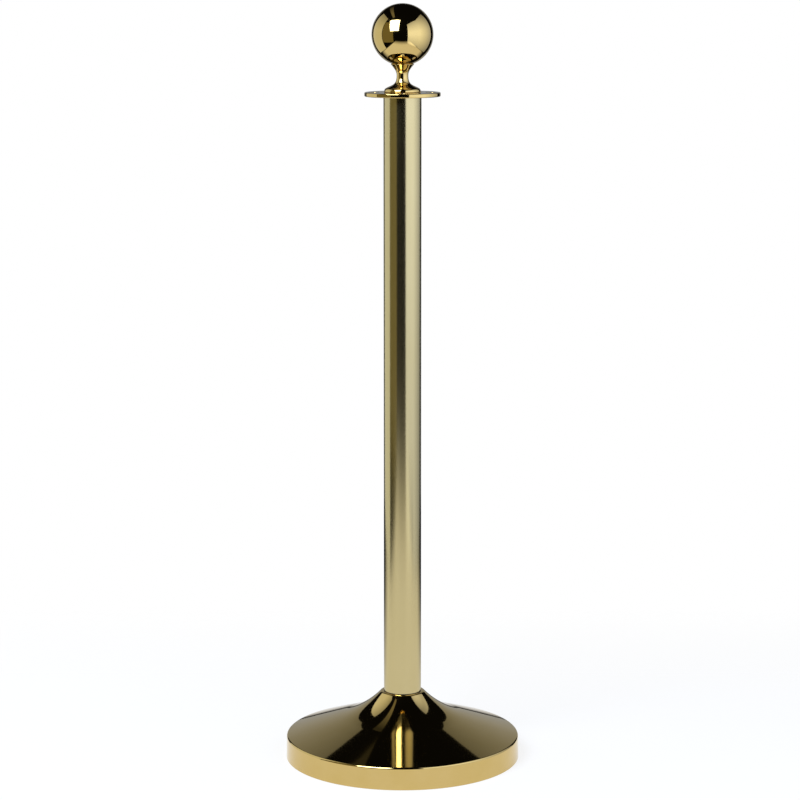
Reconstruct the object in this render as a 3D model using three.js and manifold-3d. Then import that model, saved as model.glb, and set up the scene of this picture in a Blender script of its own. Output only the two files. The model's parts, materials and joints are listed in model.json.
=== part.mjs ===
// A post for a rope barrier: a ball finial on a spool neck screws down through a flat rope
// plate into a round tube, and the tube is bolted from below to a weighted base that wears
// a spun, trumpet-shaped cover. Millimetres, +Z up, origin on the floor under the tube's axis.
import * as THREE from "three";
import { mergeVertices } from "three/addons/utils/BufferGeometryUtils.js";
import Module from "manifold-3d";

const wasm = await Module();
wasm.setup();

// ---------- Driving dimensions ----------

// Room between pieces.
const SEAT_GAP = 0.02; // between faces that bear on each other
const PRESS_GAP = 0.1; // round pieces pressed into each other, per side
const RUN_GAP = 0.3; // round pieces that turn, screw or pass through each other, per side

// Base cover, spun from thin sheet.
const BASE_R = 157.5;
const CROWN_HEIGHT = 90.8; // flat top of the cover, above the floor
const CROWN_LEDGE = 1.5; // how far that flat reaches out past the tube
const SHOULDER_R = 5; // rounding from the flat into the flare
const NECK_SLOPE = THREE.MathUtils.degToRad(46); // steepest slope, just below the shoulder
const FLARE_R = 136; // hollow curve of the flare, seen in section
const RIM_HEIGHT = 31; // where the cone meets the rim's rounding
const RIM_CORNER_R = 3;
const RIM_LEAN = 0.5; // how much the rim's wall leans in from floor to corner
const RIM_LIFT = 0.6; // daylight between the rim's edge and the floor
const COVER_WALL = 1;

// Cast weight and its floor ring.
const WEIGHT_EDGE_HEIGHT = 13; // top of the casting's outer edge, above the floor
const WEIGHT_RISE = 9; // how much its upper face climbs towards the boss
const BOSS_INSET = 1.5; // how far the boss stays inside the tube's outer face
const BOSS_FILLET_R = 16;
const CASTING_CHAMFER = 2;
const RECESS_R = 24; // pocket for the bolt's head
const RECESS_ROOF = 22; // height of the pocket's roof above the floor
const RING_SOLE = 3; // rubber under the weight
const RING_FLANGE = 13; // how far the sole reaches in under the weight
const RING_WALL = 2.6; // rubber between the weight's edge and the rim
const RING_HEIGHT = 12;
const RING_CHAMFER = 1;
const DAMPER_WIDTH = 16;
const DAMPER_OFFSET = 12; // from the end of the flare out to the foam ring
const CAP_WALL = 1.5;
const CAP_SKIRT = 6;
const CAP_INSET = 0.5; // how far the cap sits up inside the pocket

// Bolt joint at the foot of the tube.
const BOLT_R = 6; // M12
const BOLT_FLATS = 18; // across the head's flats
const BOLT_HEAD_HEIGHT = 7.5;
const BOLT_GRIP = 25; // thread held in the bottom plug
const FLAT_WASHER_R = 18;
const FLAT_WASHER_T = 2.5;
const SPRING_WASHER_R = 10.5;
const SPRING_WASHER_T = 2.5;
const SPRING_WASHER_SLIT = 2;
const PIN_R = 2.5;
const PIN_LENGTH = 22;
const GASKET_T = 0.5;

// Tube and its plugs.
const TUBE_R = 25;
const TUBE_WALL = 1.2;
const TUBE_LENGTH = 800;
const PLUG_LENGTH = 30;
const PLUG_GROOVE_DEPTH = 1.5;
const PLUG_GROOVE_WIDTH = 6;
const SPIGOT_R = 11.7; // boss on the top plug, which the rope plate turns on
const SPIGOT_HEIGHT = 3;

// Rope plate.
const PLATE_R = 50;
const PLATE_T = 5.5;
const PLATE_CHAMFER = 0.8;
const PLATE_RECESS_DEPTH = 0.8;
const FOOT_ROOM = 1; // between the neck's foot and the edge of the recess under it
const ROPE_HOLES = 4;
const ROPE_HOLE_R = 7;
const PLATE_WASHER_T = 1;
const NECK_WASHER_T = 1;
const NECK_WASHER_INSET = 2; // how far the washer hides inside the foot's edge

// Finial.
const STUD_R = 5; // M10
const STUD_GRIP = 15; // thread held in the top plug when the finial is tight
const FOOT_R = 24;
const FOOT_BEAD_R = 4.6;
const FOOT_BEAD_HEIGHT = 1.2; // centre of the bead above the foot's underside
const BEAD_END = THREE.MathUtils.degToRad(62); // where the bead turns into the sweep
const WAIST_R = 7.6;
const WAIST_HEIGHT = 21.8;
const SWEEP_REACH = 9.6; // how far the foot's slope carries on before it bends to the waist
const WAIST_BELOW = 12.6; // how far the waist stays nearly straight, downwards
const WAIST_ABOVE = 5.5; // and upwards
const CUP_SPREAD = 0.47; // share of the cup's overhang gained before its last bend
const CUP_CLIMB = 4.7; // height over which the cup makes that last bend
const CUP_R = 15.3;
const CUP_LIP = 0.7;
const NECK_HEIGHT = 36.8;
const BALL_R = 40.4;
const BALL_WALL = 1.2;
const BALL_HOLE_R = 9;
const BUSH_LENGTH = 16;
const BUSH_FLANGE_R = 12;
const BUSH_FLANGE_T = 2.5;
const SOLDER_ROOM = 0.6; // between the flange and the ball's inside

// Facets in a full turn, and points in a curved stretch.
const BASE_FACETS = 40;
const TUBE_FACETS = 32;
const FINIAL_FACETS = 24;
const SMALL_FACETS = 16;
const CURVE_STEPS = 6;
const CORNER_STEPS = 3;

// ---------- Sizes and heights that follow ----------

const crownR = TUBE_R + CROWN_LEDGE;
const ringR = BASE_R - RIM_LEAN - COVER_WALL - RUN_GAP;
const weightR = ringR - RING_WALL - PRESS_GAP;
const bossR = TUBE_R - BOSS_INSET;
const weightBottom = RING_SOLE + SEAT_GAP;
const crownUnderside = CROWN_HEIGHT - COVER_WALL;
const bossTop = crownUnderside - SEAT_GAP;
const gasketBottom = CROWN_HEIGHT + SEAT_GAP;
const tubeBottom = gasketBottom + GASKET_T + SEAT_GAP;
const tubeTop = tubeBottom + TUBE_LENGTH;
const tubeBoreR = TUBE_R - TUBE_WALL;
const plugR = tubeBoreR - PRESS_GAP;
const boltHoleR = BOLT_R + RUN_GAP;
const pinHoleR = PIN_R + RUN_GAP;
const pinCircleR = (boltHoleR + plugR) / 2;
const pinBottom = bossTop - PIN_LENGTH / 2;

const plateWasherBottom = tubeTop + SEAT_GAP;
const plateBottom = plateWasherBottom + PLATE_WASHER_T + SEAT_GAP - PLATE_RECESS_DEPTH;
const plateTop = plateBottom + PLATE_T;
const plateBoreR = SPIGOT_R + RUN_GAP;
const footRecessR = FOOT_R + FOOT_ROOM;
const ropeCircleR = (PLATE_R + Math.max(footRecessR, TUBE_R)) / 2;

const neckWasherBottom = plateTop - PLATE_RECESS_DEPTH + SEAT_GAP;
const neckWasherR = FOOT_R - NECK_WASHER_INSET;
const neckBottom = neckWasherBottom + NECK_WASHER_T + SEAT_GAP;
const studHoleR = STUD_R + RUN_GAP;
const studBottom = tubeTop - STUD_GRIP;
const seatR = BALL_R + RUN_GAP; // the hollow seat for the ball on top of the neck
const lipR = CUP_R - CUP_LIP;
const ballCentre = neckBottom + NECK_HEIGHT + Math.sqrt(seatR ** 2 - lipR ** 2);
const bushR = BALL_HOLE_R - RUN_GAP;
const bushBottom = ballCentre - Math.sqrt(BALL_R ** 2 - BALL_HOLE_R ** 2);
const studTop = bushBottom + BUSH_LENGTH - 1;

// ---------- Shape helpers ----------

// Points on an arc about [r, z]; angles are measured from +r towards +z.
function arc([centreR, centreZ], radius, from, to, steps) {
  const points = [];
  for (let i = 0; i <= steps; i++) {
    const angle = from + ((to - from) * i) / steps;
    points.push([centreR + radius * Math.cos(angle), centreZ + radius * Math.sin(angle)]);
  }
  return points;
}

// Points on a cubic curve through [r, z] control points.
function sweep(start, pull, push, end, steps) {
  const [a, b, c, d] = [start, pull, push, end].map(([r, z]) => new THREE.Vector2(r, z));
  return new THREE.CubicBezierCurve(a, b, c, d).getPoints(steps).map(({ x, y }) => [x, y]);
}

// A solid of revolution about Z. The outline runs up its outer side, and either starts and
// ends on the axis or is closed here into a ring.
function turned(outline, facets) {
  const onAxis = outline[0][0] === 0 && outline.at(-1)[0] === 0;
  const closed = onAxis ? outline : [...outline, outline[0]];
  const points = closed.map(([r, z]) => new THREE.Vector2(r, z));
  return new THREE.LatheGeometry(points, facets).rotateX(Math.PI / 2);
}

// A plain ring or, with no bore, a plain disc, standing on z = 0.
function ring(innerR, outerR, height, facets) {
  const outline = [[innerR, 0], [outerR, 0], [outerR, height], [innerR, height]];
  return turned(outline, facets);
}

// A round bar along Z with chamfered ends, placed in its outline.
function bar(radius, bottom, top, chamfer, facets) {
  const outline = [
    [0, bottom],
    [radius - chamfer, bottom],
    [radius, bottom + chamfer],
    [radius, top - chamfer],
    [radius - chamfer, top],
    [0, top],
  ];
  return turned(outline, facets);
}

function extruded(shape, height, curveSegments) {
  const settings = { depth: height, bevelEnabled: false, curveSegments };
  return new THREE.ExtrudeGeometry(shape, settings);
}

// ---------- Joining and cutting ----------

function solid(geometry) {
  const bare = geometry.index ? geometry.toNonIndexed() : geometry.clone();
  bare.deleteAttribute("normal");
  bare.deleteAttribute("uv");
  const merged = mergeVertices(bare, 1e-4);
  const triVerts = new Uint32Array(merged.index.array);
  const vertProperties = new Float32Array(merged.attributes.position.array);
  return new wasm.Manifold(new wasm.Mesh({ numProp: 3, vertProperties, triVerts }));
}

function geometryOf(manifold) {
  const { vertProperties, triVerts } = manifold.getMesh();
  const geometry = new THREE.BufferGeometry();
  geometry.setAttribute("position", new THREE.BufferAttribute(vertProperties, 3));
  geometry.setIndex(new THREE.BufferAttribute(triVerts, 1));
  geometry.computeVertexNormals();
  return geometry;
}

function cut(geometry, ...tools) {
  return geometryOf(tools.reduce((left, tool) => left.subtract(solid(tool)), solid(geometry)));
}

function join(geometry, ...others) {
  return geometryOf(others.reduce((sum, other) => sum.add(solid(other)), solid(geometry)));
}

// The hole for the pin that keeps the tube from turning on its base, between two heights.
function pinHole(bottom, top) {
  return bar(pinHoleR, bottom, top, 0, SMALL_FACETS).translate(pinCircleR, 0, 0);
}

// ---------- Base ----------

// The cover's section at a depth below its outer surface, from the crown's flat to the rim.
// Each stretch is an arc or a line tangent to the next, so that every depth is parallel.
const coverSection = (() => {
  const shoulderCentre = [crownR, CROWN_HEIGHT - SHOULDER_R];
  const reach = SHOULDER_R + FLARE_R;
  const flareCentre = [
    shoulderCentre[0] + reach * Math.sin(NECK_SLOPE),
    shoulderCentre[1] + reach * Math.cos(NECK_SLOPE),
  ];
  const cornerTopR = BASE_R - RIM_LEAN;
  const cornerCentre = [cornerTopR - RIM_CORNER_R, RIM_HEIGHT - RIM_CORNER_R];
  const across = flareCentre[0] - cornerCentre[0];
  const up = flareCentre[1] - cornerCentre[1];
  const bearing = Math.atan2(up, across);
  const coneSlope =
    Math.PI - Math.asin((FLARE_R + RIM_CORNER_R) / Math.hypot(across, up)) - bearing;
  return { shoulderCentre, flareCentre, cornerCentre, coneSlope };
})();

function coverOutline(depth) {
  const { shoulderCentre, flareCentre, cornerCentre, coneSlope } = coverSection;
  const quarter = Math.PI / 2;
  return [
    ...arc(shoulderCentre, SHOULDER_R - depth, quarter, quarter - NECK_SLOPE, CORNER_STEPS),
    ...arc(flareCentre, FLARE_R + depth, -quarter - NECK_SLOPE, -quarter - coneSlope, CURVE_STEPS),
    ...arc(cornerCentre, RIM_CORNER_R - depth, quarter - coneSlope, 0, CORNER_STEPS),
    [BASE_R - depth, RIM_LIFT],
  ];
}

function baseCover() {
  const outside = coverOutline(0).reverse();
  const inside = coverOutline(COVER_WALL);
  const crown = [[boltHoleR, CROWN_HEIGHT], [boltHoleR, crownUnderside]];
  const shell = turned([...outside, ...crown, ...inside], BASE_FACETS);
  return cut(shell, pinHole(crownUnderside - 1, CROWN_HEIGHT + 1));
}

// Height of the casting's conical upper face at a radius.
function weightTop(radius) {
  const share = (weightR - radius) / (weightR - bossR - BOSS_FILLET_R);
  return WEIGHT_EDGE_HEIGHT + WEIGHT_RISE * share;
}

// Height of the cover's straight cone at a radius, at a depth below its outer surface.
function coneHeight(radius, depth) {
  const { cornerCentre, coneSlope } = coverSection;
  const corner = RIM_CORNER_R - depth;
  const startR = cornerCentre[0] + corner * Math.sin(coneSlope);
  const startZ = cornerCentre[1] + corner * Math.cos(coneSlope);
  return startZ + (startR - radius) * Math.tan(coneSlope);
}

function baseWeight() {
  const filletR = bossR + BOSS_FILLET_R;
  const filletCentre = [filletR, weightTop(filletR) + BOSS_FILLET_R];
  const outline = [
    [RECESS_R, weightBottom],
    [weightR - CASTING_CHAMFER, weightBottom],
    [weightR, weightBottom + CASTING_CHAMFER],
    [weightR, WEIGHT_EDGE_HEIGHT],
    ...arc(filletCentre, BOSS_FILLET_R, -Math.PI / 2, -Math.PI, CURVE_STEPS),
    [bossR, bossTop - CASTING_CHAMFER],
    [bossR - CASTING_CHAMFER, bossTop],
    [boltHoleR, bossTop],
    [boltHoleR, RECESS_ROOF],
    [RECESS_R, RECESS_ROOF],
  ];
  return cut(turned(outline, BASE_FACETS), pinHole(pinBottom - RUN_GAP, bossTop + 1));
}

// Foam that stops the thin cover from ringing and denting. It stands on the casting.
function coverDamper() {
  const { flareCentre, coneSlope } = coverSection;
  const innerR = flareCentre[0] - FLARE_R * Math.sin(coneSlope) + DAMPER_OFFSET;
  const outerR = innerR + DAMPER_WIDTH;
  const outline = [
    [innerR, weightTop(innerR) + RUN_GAP],
    [outerR, weightTop(outerR) + RUN_GAP],
    [outerR, coneHeight(outerR, COVER_WALL) - RUN_GAP],
    [innerR, coneHeight(innerR, COVER_WALL) - RUN_GAP],
  ];
  return turned(outline, BASE_FACETS);
}

// Rubber ring stretched over the casting's edge: it meets the floor and centres the rim.
function floorRing() {
  const wallR = ringR - RING_WALL;
  const soleR = weightR - RING_FLANGE;
  const outline = [
    [soleR, 0],
    [ringR - RING_CHAMFER, 0],
    [ringR, RING_CHAMFER],
    [ringR, RING_HEIGHT],
    [wallR, RING_HEIGHT],
    [wallR, RING_SOLE],
    [soleR, RING_SOLE],
  ];
  return turned(outline, BASE_FACETS);
}

function recessCap() {
  const outerR = RECESS_R - PRESS_GAP;
  const outline = [
    [0, 0],
    [outerR - CAP_WALL / 2, 0],
    [outerR, CAP_WALL / 2],
    [outerR, CAP_SKIRT],
    [outerR - CAP_WALL, CAP_SKIRT],
    [outerR - CAP_WALL, CAP_WALL],
    [0, CAP_WALL],
  ];
  return turned(outline, BASE_FACETS);
}

// ---------- Bolt joint ----------

const flatWasherBottom = RECESS_ROOF - SEAT_GAP - FLAT_WASHER_T;
const springWasherBottom = flatWasherBottom - SEAT_GAP - SPRING_WASHER_T;
const boltHeadTop = springWasherBottom - SEAT_GAP;

function springWasher() {
  const innerR = BOLT_R + RUN_GAP;
  const halfSlit = SPRING_WASHER_SLIT / 2;
  const outerAngle = Math.asin(halfSlit / SPRING_WASHER_R);
  const innerAngle = Math.asin(halfSlit / innerR);
  const shape = new THREE.Shape();
  shape.absarc(0, 0, SPRING_WASHER_R, outerAngle, 2 * Math.PI - outerAngle, false);
  shape.absarc(0, 0, innerR, 2 * Math.PI - innerAngle, innerAngle, true);
  shape.closePath();
  return extruded(shape, SPRING_WASHER_T, SMALL_FACETS);
}

function baseBolt() {
  const corners = [];
  for (let i = 0; i < 6; i++) {
    const angle = (i * Math.PI) / 3;
    const reach = BOLT_FLATS / Math.sqrt(3);
    corners.push(new THREE.Vector2(reach * Math.cos(angle), reach * Math.sin(angle)));
  }
  const head = extruded(new THREE.Shape(corners), BOLT_HEAD_HEIGHT, 1);
  head.translate(0, 0, boltHeadTop - BOLT_HEAD_HEIGHT);
  const overlap = BOLT_HEAD_HEIGHT / 2;
  const shank = bar(BOLT_R, boltHeadTop - overlap, tubeBottom + BOLT_GRIP, 1, SMALL_FACETS);
  return join(head, shank);
}

// ---------- Tube ----------

// Outline of a plug pressed into the tube's end, with a groove that the tube is rolled into.
function plugOutline(boreR) {
  const grooveR = plugR - PLUG_GROOVE_DEPTH;
  const middle = PLUG_LENGTH / 2;
  const half = PLUG_GROOVE_WIDTH / 2;
  return [
    [boreR, 0],
    [plugR, 0],
    [plugR, middle - half],
    [grooveR, middle - half + PLUG_GROOVE_DEPTH],
    [grooveR, middle + half - PLUG_GROOVE_DEPTH],
    [plugR, middle + half],
    [plugR, PLUG_LENGTH],
  ];
}

function bottomPlug() {
  const outline = [...plugOutline(boltHoleR), [boltHoleR, PLUG_LENGTH]];
  const depth = pinBottom + PIN_LENGTH - tubeBottom + RUN_GAP;
  return cut(turned(outline, TUBE_FACETS), pinHole(-1, depth));
}

function topPlug() {
  const outline = [
    ...plugOutline(studHoleR),
    [SPIGOT_R, PLUG_LENGTH],
    [SPIGOT_R, PLUG_LENGTH + SPIGOT_HEIGHT],
    [studHoleR, PLUG_LENGTH + SPIGOT_HEIGHT],
  ];
  return turned(outline, TUBE_FACETS);
}

// ---------- Rope plate ----------

function ropePlate() {
  const roof = PLATE_T - PLATE_RECESS_DEPTH;
  const outline = [
    [TUBE_R, 0],
    [PLATE_R - PLATE_CHAMFER, 0],
    [PLATE_R, PLATE_CHAMFER],
    [PLATE_R, PLATE_T - PLATE_CHAMFER],
    [PLATE_R - PLATE_CHAMFER, PLATE_T],
    [footRecessR, PLATE_T],
    [footRecessR, roof],
    [plateBoreR, roof],
    [plateBoreR, PLATE_RECESS_DEPTH],
    [TUBE_R, PLATE_RECESS_DEPTH],
  ];
  const holes = [];
  for (let i = 0; i < ROPE_HOLES; i++) {
    const hole = bar(ROPE_HOLE_R, -1, PLATE_T + 1, 0, SMALL_FACETS);
    hole.translate(ropeCircleR, 0, 0).rotateZ((i * 2 * Math.PI) / ROPE_HOLES);
    holes.push(hole);
  }
  return cut(turned(outline, TUBE_FACETS), ...holes);
}

// ---------- Finial ----------

function finialNeck() {
  const beadCentre = [FOOT_R - FOOT_BEAD_R, FOOT_BEAD_HEIGHT];
  const beadStart = -Math.asin(FOOT_BEAD_HEIGHT / FOOT_BEAD_R);
  const bead = arc(beadCentre, FOOT_BEAD_R, beadStart, BEAD_END, CORNER_STEPS + 1);
  const [sweepR, sweepZ] = bead.at(-1);
  const lower = sweep(
    [sweepR, sweepZ],
    [sweepR - SWEEP_REACH * Math.sin(BEAD_END), sweepZ + SWEEP_REACH * Math.cos(BEAD_END)],
    [WAIST_R, WAIST_HEIGHT - WAIST_BELOW],
    [WAIST_R, WAIST_HEIGHT],
    CURVE_STEPS,
  );
  const cupBottom = NECK_HEIGHT - CUP_LIP;
  const upper = sweep(
    [WAIST_R, WAIST_HEIGHT],
    [WAIST_R, WAIST_HEIGHT + WAIST_ABOVE],
    [WAIST_R + CUP_SPREAD * (CUP_R - WAIST_R), cupBottom - CUP_CLIMB],
    [CUP_R, cupBottom],
    CURVE_STEPS,
  );
  const centre = ballCentre - neckBottom;
  const seat = [];
  for (let i = 0; i <= CORNER_STEPS; i++) {
    const r = lipR + ((studHoleR - lipR) * i) / CORNER_STEPS;
    seat.push([r, centre - Math.sqrt(seatR ** 2 - r ** 2)]);
  }
  const outline = [[studHoleR, 0], ...bead, ...lower.slice(1), ...upper.slice(1), ...seat];
  return turned(outline, FINIAL_FACETS);
}

function finialBall() {
  const innerR = BALL_R - BALL_WALL;
  const outerStart = -Math.acos(BALL_HOLE_R / BALL_R);
  const innerEnd = -Math.acos(BALL_HOLE_R / innerR);
  const below = arc([0, 0], BALL_R, outerStart, 0, CURVE_STEPS);
  const above = arc([0, 0], BALL_R, 0, Math.PI / 2, CURVE_STEPS);
  const inside = arc([0, 0], innerR, Math.PI / 2, innerEnd, 2 * CURVE_STEPS);
  above.at(-1)[0] = 0;
  inside[0][0] = 0;
  return turned([...below, ...above.slice(1), ...inside], FINIAL_FACETS);
}

// Threaded bush in the ball's hole, with its flange inside the ball.
function ballBush() {
  const innerR = BALL_R - BALL_WALL;
  const ballFloor = ballCentre - Math.sqrt(innerR ** 2 - BUSH_FLANGE_R ** 2);
  const flangeZ = ballFloor + SOLDER_ROOM - bushBottom;
  const outline = [
    [studHoleR, 0],
    [bushR, 0],
    [bushR, flangeZ],
    [BUSH_FLANGE_R, flangeZ],
    [BUSH_FLANGE_R, flangeZ + BUSH_FLANGE_T],
    [bushR, flangeZ + BUSH_FLANGE_T],
    [bushR, BUSH_LENGTH],
    [studHoleR, BUSH_LENGTH],
  ];
  return turned(outline, SMALL_FACETS);
}

// ---------- Assembly ----------

const FINISHES = {
  polishedBrass: { color: 0xc9a65a, roughness: 0.08, metalness: 1 },
  satinBrass: { color: 0xc8b684, roughness: 0.3, metalness: 1 },
  rawBrass: { color: 0xb08d45, roughness: 0.4, metalness: 1 },
  zincSteel: { color: 0xb4b7ba, roughness: 0.35, metalness: 1 },
  castIron: { color: 0x2b2b2d, roughness: 0.75, metalness: 0.6 },
  blackRubber: { color: 0x161616, roughness: 0.8, metalness: 0 },
  blackPlastic: { color: 0x1c1c1e, roughness: 0.5, metalness: 0 },
  whiteNylon: { color: 0xe4e2d8, roughness: 0.45, metalness: 0 },
  greyFoam: { color: 0x55585a, roughness: 0.95, metalness: 0 },
};

function add(group, name, geometry, finish, height = 0) {
  const mesh = new THREE.Mesh(geometry, new THREE.MeshStandardMaterial(FINISHES[finish]));
  mesh.name = name;
  mesh.position.z = height;
  group.add(mesh);
}

const base = new THREE.Group();
add(base, "base_cover", baseCover(), "polishedBrass");
add(base, "base_weight", baseWeight(), "castIron");
add(base, "cover_damper", coverDamper(), "greyFoam");
add(base, "floor_ring", floorRing(), "blackRubber");
add(base, "recess_cap", recessCap(), "blackPlastic", weightBottom + CAP_INSET);

const boltJoint = new THREE.Group();
const flatWasher = ring(boltHoleR, FLAT_WASHER_R, FLAT_WASHER_T, SMALL_FACETS);
add(boltJoint, "flat_washer", flatWasher, "zincSteel", flatWasherBottom);
add(boltJoint, "spring_washer", springWasher(), "zincSteel", springWasherBottom);
add(boltJoint, "base_bolt", baseBolt(), "zincSteel");
const pin = bar(PIN_R, 0, PIN_LENGTH, 0.5, SMALL_FACETS).translate(pinCircleR, 0, 0);
add(boltJoint, "turn_stop_pin", pin, "zincSteel", pinBottom);
const gasketRing = ring(boltHoleR, TUBE_R, GASKET_T, TUBE_FACETS);
const gasket = cut(gasketRing, pinHole(-1, GASKET_T + 1));
add(boltJoint, "tube_gasket", gasket, "blackRubber", gasketBottom);

const column = new THREE.Group();
const tube = ring(tubeBoreR, TUBE_R, TUBE_LENGTH, TUBE_FACETS);
add(column, "post_tube", tube, "satinBrass", tubeBottom);
add(column, "bottom_plug", bottomPlug(), "zincSteel", tubeBottom);
add(column, "top_plug", topPlug(), "zincSteel", tubeTop - PLUG_LENGTH);
const plateWasher = ring(plateBoreR, TUBE_R - RUN_GAP, PLATE_WASHER_T, TUBE_FACETS);
add(column, "plate_washer", plateWasher, "whiteNylon", plateWasherBottom);
add(column, "rope_plate", ropePlate(), "polishedBrass", plateBottom);

const finial = new THREE.Group();
const neckWasher = ring(studHoleR, neckWasherR, NECK_WASHER_T, FINIAL_FACETS);
add(finial, "neck_washer", neckWasher, "whiteNylon", neckWasherBottom);
add(finial, "finial_neck", finialNeck(), "polishedBrass", neckBottom);
add(finial, "finial_stud", bar(STUD_R, studBottom, studTop, 1, SMALL_FACETS), "zincSteel");
add(finial, "finial_ball", finialBall(), "polishedBrass", ballCentre);
add(finial, "ball_bush", ballBush(), "rawBrass", bushBottom);

const post = new THREE.Group();
post.add(base, boltJoint, column, finial);

export default post;
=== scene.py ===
"""Looks of a post-and-rope stanchion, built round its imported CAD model.

Outlines are in millimetres and everything in Blender is in metres, +Z up, with the origin on
the floor under the tube's axis. Sizes come from the CAD nodes' boxes where a box gives them.
The other sizes repeat the design's own values.
"""

import json
import math
from collections import namedtuple

import bmesh
import bpy
from mathutils import Matrix, Vector


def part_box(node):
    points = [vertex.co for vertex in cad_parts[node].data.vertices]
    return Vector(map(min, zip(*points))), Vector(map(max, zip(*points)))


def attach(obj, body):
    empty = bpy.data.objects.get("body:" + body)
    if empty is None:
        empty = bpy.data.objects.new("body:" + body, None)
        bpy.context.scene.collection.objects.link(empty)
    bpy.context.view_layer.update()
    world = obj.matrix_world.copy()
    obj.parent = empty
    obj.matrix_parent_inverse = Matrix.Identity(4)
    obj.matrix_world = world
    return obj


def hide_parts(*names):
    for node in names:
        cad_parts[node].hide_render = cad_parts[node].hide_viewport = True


MM = 0.001
ON_AXIS = 1e-6
QUARTER = math.pi / 2

# ---------- The fixed frame ----------

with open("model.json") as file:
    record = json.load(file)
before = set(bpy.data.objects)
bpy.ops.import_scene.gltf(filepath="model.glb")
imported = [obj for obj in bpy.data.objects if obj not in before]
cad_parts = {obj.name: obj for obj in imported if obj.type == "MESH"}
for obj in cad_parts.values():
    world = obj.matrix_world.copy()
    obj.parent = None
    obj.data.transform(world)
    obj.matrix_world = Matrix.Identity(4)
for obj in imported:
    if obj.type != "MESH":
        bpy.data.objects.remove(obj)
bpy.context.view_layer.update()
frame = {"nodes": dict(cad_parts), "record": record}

Extent = namedtuple("Extent", "radius bottom top")


def extent(node):
    """Radius, bottom and top of a round CAD node, in millimetres."""
    low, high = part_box(node)
    return Extent((high.x - low.x) / 2 / MM, low.z / MM, high.z / MM)


CAD = {node: extent(node) for node in frame["nodes"]}
BODY = {
    node: body
    for body, members in frame["record"]["behaviour"]["bodies"].items()
    for node in members
}
SLOT = {part["node"]: part["material_slot"] for part in frame["record"]["subparts"]}

# ---------- Sizes that no box gives, in millimetres ----------

RUN_GAP = 0.3
COVER_WALL = 1
CROWN_LEDGE = 1.5
SHOULDER_R = 5
NECK_SLOPE = math.radians(46)
FLARE_R = 136
RIM_HEIGHT = 31
RIM_CORNER_R = 3
RIM_LEAN = 0.5
WEIGHT_RISE = 9
WEIGHT_EDGE_HEIGHT = 13
BOSS_INSET = 1.5
BOSS_FILLET_R = 16
WEIGHT_EDGE_R = 2
WEIGHT_EDGE_LAND = 4
RECESS_ROOF = 22
RECESS_CHAMFER = 1.5
CAP_PRESS_ROOM = 0.1
DAMPER_INSET = 12
DAMPER_EDGE_R = 0.8
RING_SOLE = 3
RING_SOLE_REACH = 13
RING_WALL = 2.6
RING_GROOVES = 3
RING_GROOVE_TOP = 0.6
RING_GROOVE_FOOT = 0.9
RING_GROOVE_DEPTH = 0.7
RING_EDGE_R = 1
RING_CHAMFER = 0.6
CAP_WALL = 1.5
CAP_DISH = 0.5
CAP_EDGE_R = 0.75
CAP_LEAD = 0.4
BOLT_R = 6
BOLT_HEAD_HEIGHT = 7.5
BOLT_THREAD = 34
BOLT_CROWN_DROP = 1.4
BOLT_PITCH = 1.75
SPRING_WASHER_SLIT = 2
PIN_R = 2.5
PIN_EDGE_R = 0.5
TUBE_WALL = 1.2
TUBE_EDGE = 0.25
PLUG_GROOVE_DEPTH = 1.5
PLUG_GROOVE_WIDTH = 6
PLUG_GROOVE_R = 1
PLUG_CHAMFER = 0.8
PLUG_BORE_CHAMFER = 0.6
SPIGOT_CHAMFER = 0.3
SPIGOT_R = 11.7
SPIGOT_HEIGHT = 3
PLATE_RECESS_DEPTH = 0.8
PLATE_EDGE_R = 1.3
PLATE_NOTCH = 0.2
FOOT_ROOM = 1
ROPE_HOLES = 4
ROPE_HOLE_R = 7
ROPE_HOLE_EDGE_R = 1
STUD_R = 5
STUD_PITCH = 1.5
FOOT_BEAD_R = 4.6
FOOT_BEAD_HEIGHT = 1.2
BEAD_END = math.radians(62)
WAIST_R = 7.6
WAIST_HEIGHT = 21.8
SWEEP_REACH = 9.6
WAIST_BELOW = 12.6
WAIST_ABOVE = 5.5
CUP_SPREAD = 0.47
CUP_CLIMB = 4.7
CUP_R = 15.3
CUP_LIP = 0.7
CUP_EDGE_R = 0.35
CUP_EDGE_RISE = 0.1
NECK_HEIGHT = 36.8
BALL_WALL = 1.2
BALL_HOLE_R = 9
BUSH_FLANGE_T = 2.5
BUSH_SEAT = 0.6
BUSH_EDGE_R = 0.25
CUTTER_REACH = 2
THREAD_DEPTH_SHARE = 0.61
THREAD_FLANK_SHARE = 0.44
ROD_POINT = 1.2

BOLT_HOLE_R = BOLT_R + RUN_GAP
STUD_HOLE_R = STUD_R + RUN_GAP
TUBE_R = CAD["post_tube"].radius
BALL_R = CAD["finial_ball"].radius
NECK_BOTTOM = CAD["finial_neck"].bottom
BALL_CENTRE = CAD["finial_ball"].top - BALL_R
FOOT_R = CAD["finial_neck"].radius

# Facets in a full turn.
TURN_FINE = 256
TURN_SMALL = 96

# ---------- Outlines: lists of (radius, height), in millimetres ----------


def arc(centre, radius, start, end, steps=12):
    """Points on an arc; angles are measured from outwards towards up."""
    angles = [start + (end - start) * i / steps for i in range(steps + 1)]
    return [(centre[0] + radius * math.cos(a), centre[1] + radius * math.sin(a)) for a in angles]


def line(start, end, steps=8):
    """Points on a straight stretch, so that shading keeps to its own short facets."""
    return [
        (start[0] + (end[0] - start[0]) * i / steps, start[1] + (end[1] - start[1]) * i / steps)
        for i in range(steps + 1)
    ]


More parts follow.
